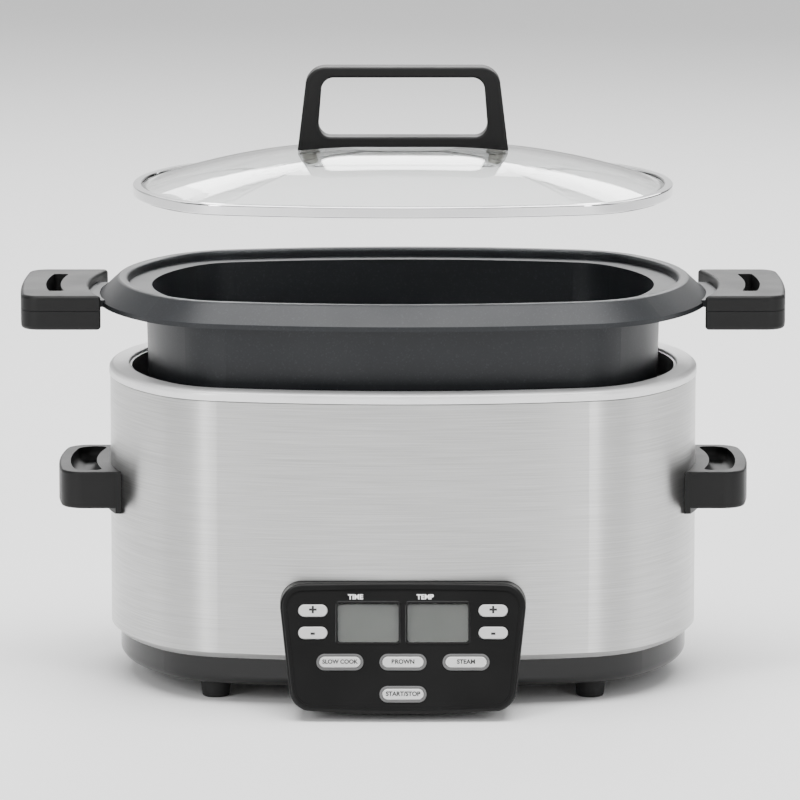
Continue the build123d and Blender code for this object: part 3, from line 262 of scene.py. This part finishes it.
def finishes(colours):
    """One material for each material slot of the record."""
    made = {
        "brushed_steel": brushed_steel(colours.steel),
        # Drawn aluminium rim under a clear satin lacquer: nearly white under soft light.
        "rim_silver": textured("satin_aluminium", "#ececec", 1.2, 0.01, (0.34, 0.42), 0.02, metallic=0.35),
        # Pressed aluminised liner, dull from the press.
        "liner_grey": textured("aluminised_sheet", "#b4b4b5", 2.5, 0.03, (0.38, 0.5), 0.06, metallic=1.0),
        # Die-cast aluminium, faint sand grain.
        "cast_aluminium": textured("cast_aluminium", "#a9a9ab", 0.9, 0.05, (0.42, 0.55), 0.06, metallic=1.0),
        # Drawn spring wire, hard and bright.
        "spring_steel": textured("spring_wire", "#b9b9bb", 0.6, 0.01, (0.18, 0.26), 0.05, metallic=1.0),
        # Zinc-plated steel, slightly yellowed and cloudy.
        "zinc_steel": textured("zinc_plate", "#b3b2aa", 1.0, 0.01, (0.28, 0.42), 0.08, 8.0, metallic=1.0),
        # Mirror-polished stainless rim, sharp reflections with a trace of polishing haze.
        "polished_steel": textured(
            "polished_stainless", "#e4e4e5", 20.0, 0.01, (0.05, 0.09), 0.02, metallic=1.0,
        ),
        "nonstick": nonstick(colours.coating),
        # Gloss ABS, black: smooth from a polished mould, with slight sink waviness.
        "gloss_black": textured(
            "gloss_abs", "#070707", 12.0, 0.03, (0.16, 0.24), 0.05, Specular_IOR_Level=0.35,
        ),
        # Phenolic handles, black: fine spark-eroded texture that greys their edges.
        "matt_black": textured(
            "phenolic_moulding", colours.handles, 0.7, 0.045, (0.42, 0.52), 0.07, Specular_IOR_Level=0.25,
        ),
        # Satin ABS panel case.
        "panel_black": textured(
            "satin_abs", "#040404", 0.6, 0.025, (0.34, 0.44), 0.05, Specular_IOR_Level=0.22,
        ),
        # Silver-painted keys: pale, satin, with very fine metal flake.
        "button_silver": textured("silver_paint", colours.keys, 0.6, 0.01, (0.3, 0.38), 0.03, metallic=0.25),
        # Trim rings round the keys, moulded: their grey is painted shade, standing in for the darker reflection
        # along a silver key's bevel.
        "ring_grey": textured("key_bevel_painted_shade", "#5b5b5b", 0.7, 0.02, (0.35, 0.45), 0.04, IOR=1.52),
        # Moulded rubber feet and gland, dull and slightly dusty.
        "foot_rubber": textured("moulded_rubber", "#0a0a0a", 0.8, 0.06, (0.7, 0.85), 0.1, IOR=1.5),
        # Tempered glass.
        "clear_glass": clear_sheet("tempered_glass", "#fbfdfc", 0.0, 1.5),
        # Grey-tinted acrylic display window.
        "window_clear": clear_sheet("display_acrylic", "#e6e7e6", 0.06, 1.49, 20.0),
        # Unlit liquid crystal display: grey-green polariser film with a very fine cell grid.
        "lcd_grey": textured("display_film", "#8b8d8a", 0.5, 0.004, (0.3, 0.36), 0.03, 15.0),
        # Translucent silicone washers.
        "silicone": textured(
            "silicone_washer", "#d9d8d2", 1.5, 0.02, (0.4, 0.5), 0.03, Transmission_Weight=0.35,
        ),
        # Printed circuit board, green solder mask over fine tracks.
        "board_green": textured("solder_mask", "#2f6a45", 1.4, 0.03, (0.22, 0.34), 0.15, 3.0),
        # Moulded epoxy component bodies.
        "component_black": textured("moulded_epoxy", "#2a2a2c", 0.5, 0.03, (0.45, 0.6), 0.08),
        # Varnished yellow winding tape.
        "component_yellow": textured("winding_tape", "#c8a341", 1.2, 0.03, (0.2, 0.32), 0.08, 6.0),
        # Ribbon cable in grey PVC.
        "cable_grey": textured("ribbon_pvc", "#a5a5a8", 1.27, 0.1, (0.4, 0.5), 0.05),
        # Woven glass-fibre sleeve over the heater's leads.
        "lead_sleeve": textured("glass_sleeve", "#d8d4c8", 0.6, 0.12, (0.6, 0.75), 0.06),
    }
    # Screen-printing inks, matt and slightly mottled at their edges.
    made["ink"] = textured("dark_ink", colours.ink, 0.3, 0.005, (0.5, 0.6), 0.05)
    made["light_ink"] = textured("light_ink", colours.light_ink, 0.3, 0.005, (0.5, 0.6), 0.03)
    return made


# ---- Modelling helpers
def deselect():
    """Leaves edit mode and selects nothing."""
    if bpy.context.object and bpy.context.object.mode != "OBJECT":
        bpy.ops.object.mode_set(mode="OBJECT")
    bpy.ops.object.select_all(action="DESELECT")


def settle(piece, name, finish, body):
    """Puts a finished piece's place into its mesh, gives it its finish and lets it ride on a body."""
    deselect()
    piece.select_set(True)
    bpy.context.view_layer.objects.active = piece
    bpy.ops.object.transform_apply(location=True, rotation=True, scale=True)
    piece.name = name
    piece.data.materials.clear()
    piece.data.materials.append(bpy.data.materials[finish])
    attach(piece, body)


def lettering(name, words, height, spot, body, finish):
    """Printed word or sign lying on the panel's sloping face or on a key."""
    sizes = bpy.context.scene.cooker_sizes
    deselect()
    bpy.ops.object.text_add()
    text = bpy.context.object
    text.data.body = words
    text.data.align_x, text.data.align_y = "CENTER", "CENTER"
    # Drawn a metre high, because outlines a few millimetres high lose corners, and then brought to size.
    text.data.size = 1 / CAPITALS
    text.data.extrude = sizes.ink / 2 / height
    text.data.offset = BOLD
    bpy.ops.object.convert(target="MESH")
    text = bpy.context.object
    share = min(height, WIDEST / text.dimensions.x)
    text.scale = (share, share, height)
    bpy.ops.object.transform_apply(location=False, rotation=False, scale=True)
    text.matrix_world = Matrix.Translation(spot + OUT * sizes.ink / 2) @ Matrix.Rotation(LEAN, 4, "X")
    settle(text, name, finish, body)


def display_frame(name, window):
    """Bevelled frame round a display: a plate, inset, opened and drawn up, with its edges broken."""
    sizes = bpy.context.scene.cooker_sizes
    low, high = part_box(window)
    width = high[0] - low[0] + 2 * (sizes.frame_width - WINDOW_LIP)
    points = [vertex.co.dot(UP) for vertex in NODES[window].data.vertices]
    height = max(points) - min(points) + 2 * (sizes.frame_width - WINDOW_LIP)
    spot = face_spot(window)
    surface = (BEZEL_FACE - spot.dot(OUT)) * OUT
    deselect()
    bpy.ops.mesh.primitive_plane_add(size=1)
    plate = bpy.context.object
    plate.dimensions = (width, height, 0)
    bpy.ops.object.transform_apply(location=True, rotation=True, scale=True)
    bpy.ops.object.mode_set(mode="EDIT")
    bpy.ops.mesh.select_all(action="SELECT")
    bpy.ops.mesh.bevel(offset=FRAME_CORNER, segments=CORNER_STEPS, affect="VERTICES")
    bpy.ops.mesh.select_all(action="SELECT")
    bpy.ops.mesh.inset(thickness=sizes.frame_width, depth=0)
    bpy.ops.mesh.delete(type="FACE")
    bpy.ops.mesh.select_all(action="SELECT")
    bpy.ops.mesh.extrude_region_move(TRANSFORM_OT_translate={"value": (0, 0, sizes.frame_rise)})
    bpy.ops.mesh.select_all(action="SELECT")
    bpy.ops.mesh.normals_make_consistent(inside=False)
    bpy.ops.object.mode_set(mode="OBJECT")
    soften = plate.modifiers.new("broken_edges", "BEVEL")
    soften.width, soften.segments, soften.limit_method = FRAME_EDGE, 2, "ANGLE"
    bpy.ops.object.modifier_apply(modifier=soften.name)
    bpy.ops.object.shade_smooth_by_angle(angle=SMOOTH_BELOW)
    plate.matrix_world = Matrix.Translation(spot + surface) @ Matrix.Rotation(LEAN, 4, "X")
    settle(plate, name, FINISH["gloss_black"], "base")


# ---- One operator for each piece or group of like pieces
class COOKER_OT_finishes(bpy.types.Operator):
    """Give every part carried over from the frame its finish"""
    bl_idname = "cooker.finishes"
    bl_label = "Part finishes"

    def execute(self, context):
        for slot, material in finishes(context.scene.cooker_colours).items():
            FINISH[slot] = material.name
        for name, part in NODES.items():
            part.data.materials.clear()
            part.data.materials.append(bpy.data.materials[FINISH[SLOT_OF[name]]])
        return {"FINISHED"}


class COOKER_OT_key_legends(bpy.types.Operator):
    """Print a sign or words on each push key"""
    bl_idname = "cooker.key_legends"
    bl_label = "Key legends"

    def execute(self, context):
        sizes = context.scene.cooker_sizes
        legends = {
            "time_up_button": "+",
            "time_down_button": "-",
            "temp_up_button": "+",
            "temp_down_button": "-",
            "slow_cook_button": "SLOW COOK",
            "brown_button": "BROWN",
            "steam_button": "STEAM",
            "start_stop_button": "START/STOP",
        }
        for key, words in legends.items():
            height = sizes.sign_height if len(words) == 1 else sizes.legend_height
            name = key.replace("button", "legend")
            lettering(name, words, height, face_spot(key), BODY_OF[key], FINISH["ink"])
        return {"FINISHED"}


class COOKER_OT_panel_labels(bpy.types.Operator):
    """Print the word over each display"""
    bl_idname = "cooker.panel_labels"
    bl_label = "Panel labels"

    def execute(self, context):
        sizes = context.scene.cooker_sizes
        for window, words in (("lcd_window_time", "TIME"), ("lcd_window_temp", "TEMP")):
            spot = face_spot(window)
            spot += OUT * (BEZEL_FACE - spot.dot(OUT)) + UP * LABEL_UP - Vector((LABEL_LEFT, 0, 0))
            name = f"label_{words.lower()}"
            lettering(name, words, sizes.label_height, spot, "base", FINISH["light_ink"])
        return {"FINISHED"}


class COOKER_OT_display_frames(bpy.types.Operator):
    """Raise a bevelled frame round each display"""
    bl_idname = "cooker.display_frames"
    bl_label = "Display frames"

    def execute(self, context):
        display_frame("display_frame_time", "lcd_window_time")
        display_frame("display_frame_temp", "lcd_window_temp")
        return {"FINISHED"}


# ---- Stage, in metres
FLOOR_SIZE = 40
# Area lights: name, place, point aimed at, width and height, and watts.
LIGHTS = [
    ("overhead", (0, -0.4, 2.6), (0, 0, 0.2), (2.6, 1.8), 110),
    ("front_left", (-2.2, -2.6, 1.5), (0, 0, 0.2), (0.7, 1.8), 60),
    ("front_right", (1.9, -2.9, 1.2), (0, 0, 0.2), (0.5, 1.8), 34),
    ("back", (0.4, 2.4, 1.8), (0, 0, 0.25), (2.4, 1.0), 60),
]
# Studio panels: degrees round from straight in front of the cooker, right positive, and brightness.
PANELS = [
    (-175, 0.9), (-150, 0.1), (-112, 0.1), (-95, 1.6), (-72, 1.6), (-56, 0.12), (-28, 0.12), (-12, 1.2),
    (16, 1.2), (34, 0.5), (60, 1.1), (78, 0.8), (92, 0.06), (150, 0.06), (170, 1.0),
]
PANEL_START = 270  # where straight in front lies on the ring of panels, in degrees
STUDIO_STRENGTH = 1.15
# A long lens a little above the rim, square to the control panel.
CAMERA_RISE, CAMERA_DISTANCE, AIM_HEIGHT = radians(9.5), 4.5, 0.2
SENSOR_MM, LENS_MM = 36, 311.9
LENS_SHIFT = (-0.00375, -0.044)  # sideways and up, as shares of the sensor's width
CLIP = (0.1, 100)


class COOKER_OT_stage(bpy.types.Operator):
    """Lay the plain floor, hang the lights and set the camera"""
    bl_idname = "cooker.stage"
    bl_label = "Stage"

    def execute(self, context):
        middle_y = sum(corner[1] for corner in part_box("cooking_pot")) / 2
        deselect()
        bpy.ops.mesh.primitive_plane_add(size=FLOOR_SIZE, location=(0, 0, 0))
        floor = context.object
        floor.name = "floor"
        colour = context.scene.cooker_colours.floor
        floor.data.materials.append(textured("plain_card", colour, 6, 0.01, (0.8, 0.9), 0.0))
        for name, place, aim, size, power in LIGHTS:
            bpy.ops.object.light_add(type="AREA", location=place)
            light = context.object
            light.name = name
            light.data.shape = "RECTANGLE"
            light.data.size, light.data.size_y = size
            light.data.energy = power
            light.rotation_euler = (Vector(aim) - Vector(place)).to_track_quat("-Z", "Y").to_euler()
        world = bpy.data.worlds.new("soft_studio")
        world.use_nodes = True
        context.scene.world = world
        tree = world.node_tree
        # Bright and dark panels stand all round, so that curved steel shows upright bands.
        around = node(tree, "ShaderNodeTexGradient", settings={"gradient_type": "RADIAL"})
        place = node(tree, "ShaderNodeTexCoord").outputs["Generated"]
        tree.links.new(place, around.inputs["Vector"])
        ramp = node(tree, "ShaderNodeValToRGB", {"Fac": around.outputs["Fac"]})
        bands = ramp.color_ramp.elements
        for degrees, shade in PANELS:
            band = bands.new(((degrees + PANEL_START) % 360) / 360)
            band.color = (shade, shade, shade, 1)
        bands.remove(bands[0])
        bands.remove(bands[-1])
        back = tree.nodes["Background"]
        tree.links.new(ramp.outputs["Color"], back.inputs["Color"])
        back.inputs["Strength"].default_value = STUDIO_STRENGTH
        target = Vector((0, middle_y, AIM_HEIGHT))
        offset = Vector((0, -cos(CAMERA_RISE), sin(CAMERA_RISE))) * CAMERA_DISTANCE
        tilt = radians(90) - CAMERA_RISE
        bpy.ops.object.camera_add(location=target + offset, rotation=(tilt, 0, 0))
        camera = context.object
        camera.name = "front_camera"
        camera.data.sensor_width = SENSOR_MM
        camera.data.lens = LENS_MM
        camera.data.shift_x, camera.data.shift_y = LENS_SHIFT
        camera.data.clip_start, camera.data.clip_end = CLIP
        context.scene.camera = camera
        return {"FINISHED"}


class COOKER_PT_pieces(bpy.types.Panel):
    """Pieces of the slow cooker, in the order they are made"""
    bl_idname = "COOKER_PT_pieces"
    bl_label = "Slow cooker"
    bl_space_type = "VIEW_3D"
    bl_region_type = "UI"
    bl_category = "Slow cooker"

    def draw(self, context):
        for group in (context.scene.cooker_sizes, context.scene.cooker_colours):
            for name in group.__annotations__:
                self.layout.prop(group, name)
        for step in STEPS:
            self.layout.operator(step.bl_idname)


STEPS = [
    COOKER_OT_finishes, COOKER_OT_key_legends, COOKER_OT_panel_labels, COOKER_OT_display_frames,
    COOKER_OT_stage,
]
CLASSES = [CookerSizes, CookerColours, *STEPS, COOKER_PT_pieces]


def register():
    for kind in CLASSES:
        bpy.utils.register_class(kind)
    bpy.types.Scene.cooker_sizes = bpy.props.PointerProperty(type=CookerSizes)
    bpy.types.Scene.cooker_colours = bpy.props.PointerProperty(type=CookerColours)


def unregister():
    del bpy.types.Scene.cooker_colours
    del bpy.types.Scene.cooker_sizes
    for kind in reversed(CLASSES):
        bpy.utils.unregister_class(kind)


def main():
    register()
    bpy.ops.cooker.finishes()
    bpy.ops.cooker.key_legends()
    bpy.ops.cooker.panel_labels()
    bpy.ops.cooker.display_frames()
    bpy.ops.cooker.stage()


if __name__ == "__main__":
    main()
